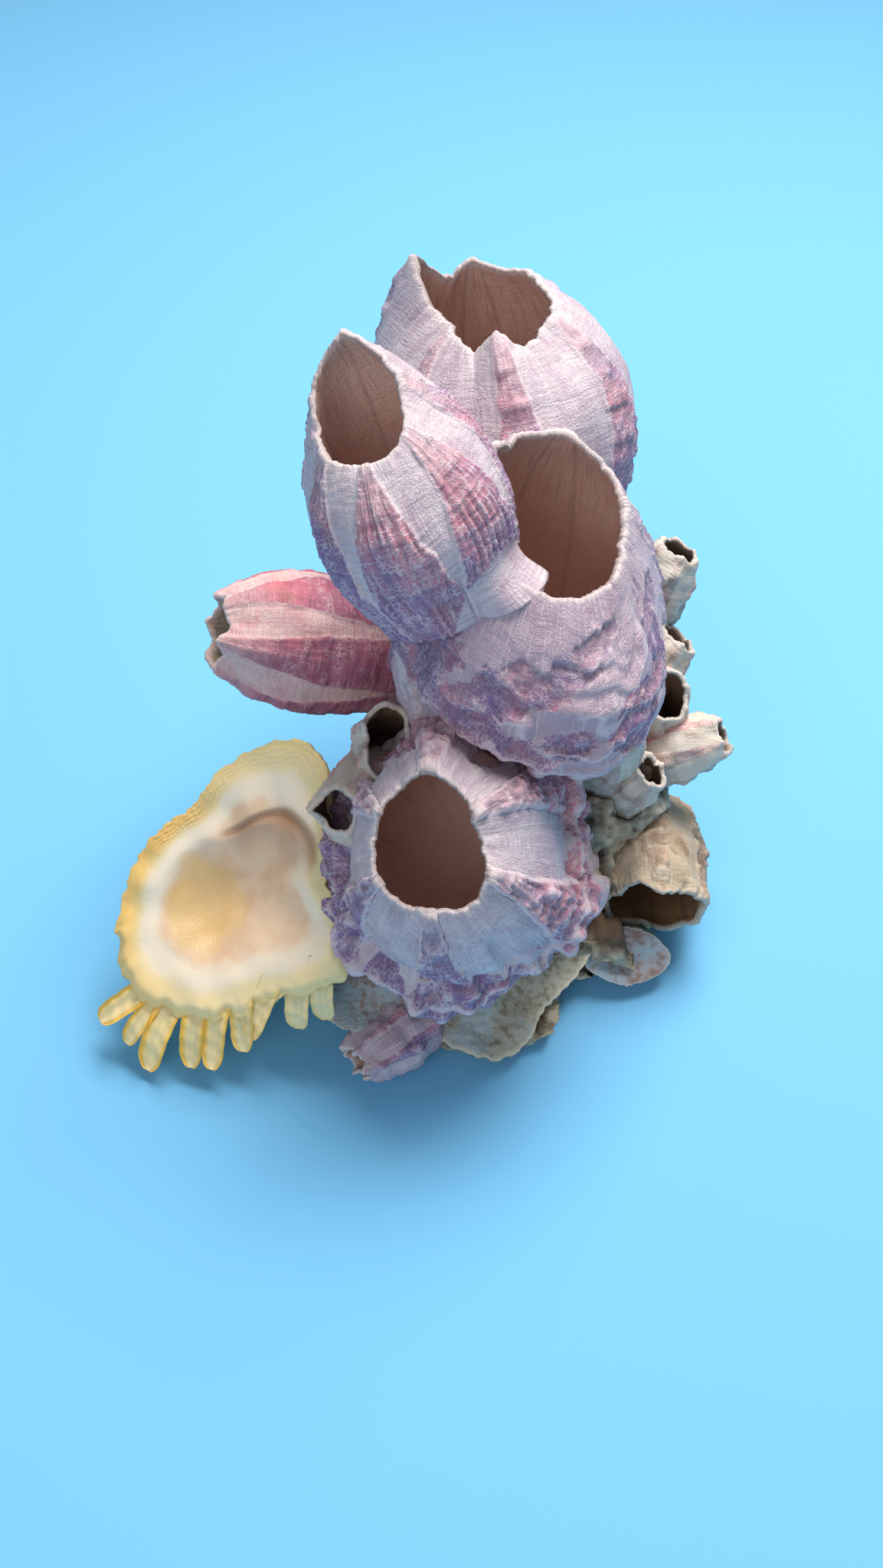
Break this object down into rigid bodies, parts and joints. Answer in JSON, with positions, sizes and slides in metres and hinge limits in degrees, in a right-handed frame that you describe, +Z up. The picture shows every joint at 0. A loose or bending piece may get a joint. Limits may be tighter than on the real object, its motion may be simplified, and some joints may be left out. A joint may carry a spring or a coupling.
{
  "type": "barnacle cluster",
  "caption": "Cluster of large hollow barnacle shells grown together on old shell and crust, with a spiny valve on one side, resting on a flat cut base.",
  "frame": {"origin": "middle of the cluster's outline, on the surface that it stands on", "axes": "+Z up, -Y towards the side that the large mouths tilt to, +X to the right as seen from that side"},
  "size_m": [0.1126, 0.1034, 0.1151],
  "materials": {
    "mauve_shell": "matt, ribbed and worn",
    "pink_shell": "matt, smooth and ribbed in turn",
    "pale_shell": "matt, worn",
    "old_shell": "rough, weathered",
    "crust": "rough, pitted",
    "yellow_shell": "satin inside, rough outside",
    "plate_shell": "rough, mottled"
  },
  "bodies": {
    "root": {"front_barnacle": "mauve_shell", "middle_barnacle": "mauve_shell", "upper_left_barnacle": "mauve_shell", "top_barnacle": "mauve_shell", "side_barnacle": "pink_shell", "left_small_barnacle": "pale_shell", "left_beak_barnacle": "pale_shell", "right_barnacle_a": "pale_shell", "right_barnacle_b": "pale_shell", "right_barnacle_c": "pale_shell", "right_barnacle_d": "pale_shell", "right_barnacle_e": "pale_shell", "right_barnacle_f": "pale_shell", "bottom_barnacle": "mauve_shell", "old_barnacle_shell": "old_shell", "spiny_valve": "yellow_shell", "ledge_valve": "plate_shell", "clam_valve": "pale_shell", "flake_valve": "plate_shell", "crust_base": "crust"}
  },
  "joints": []
}
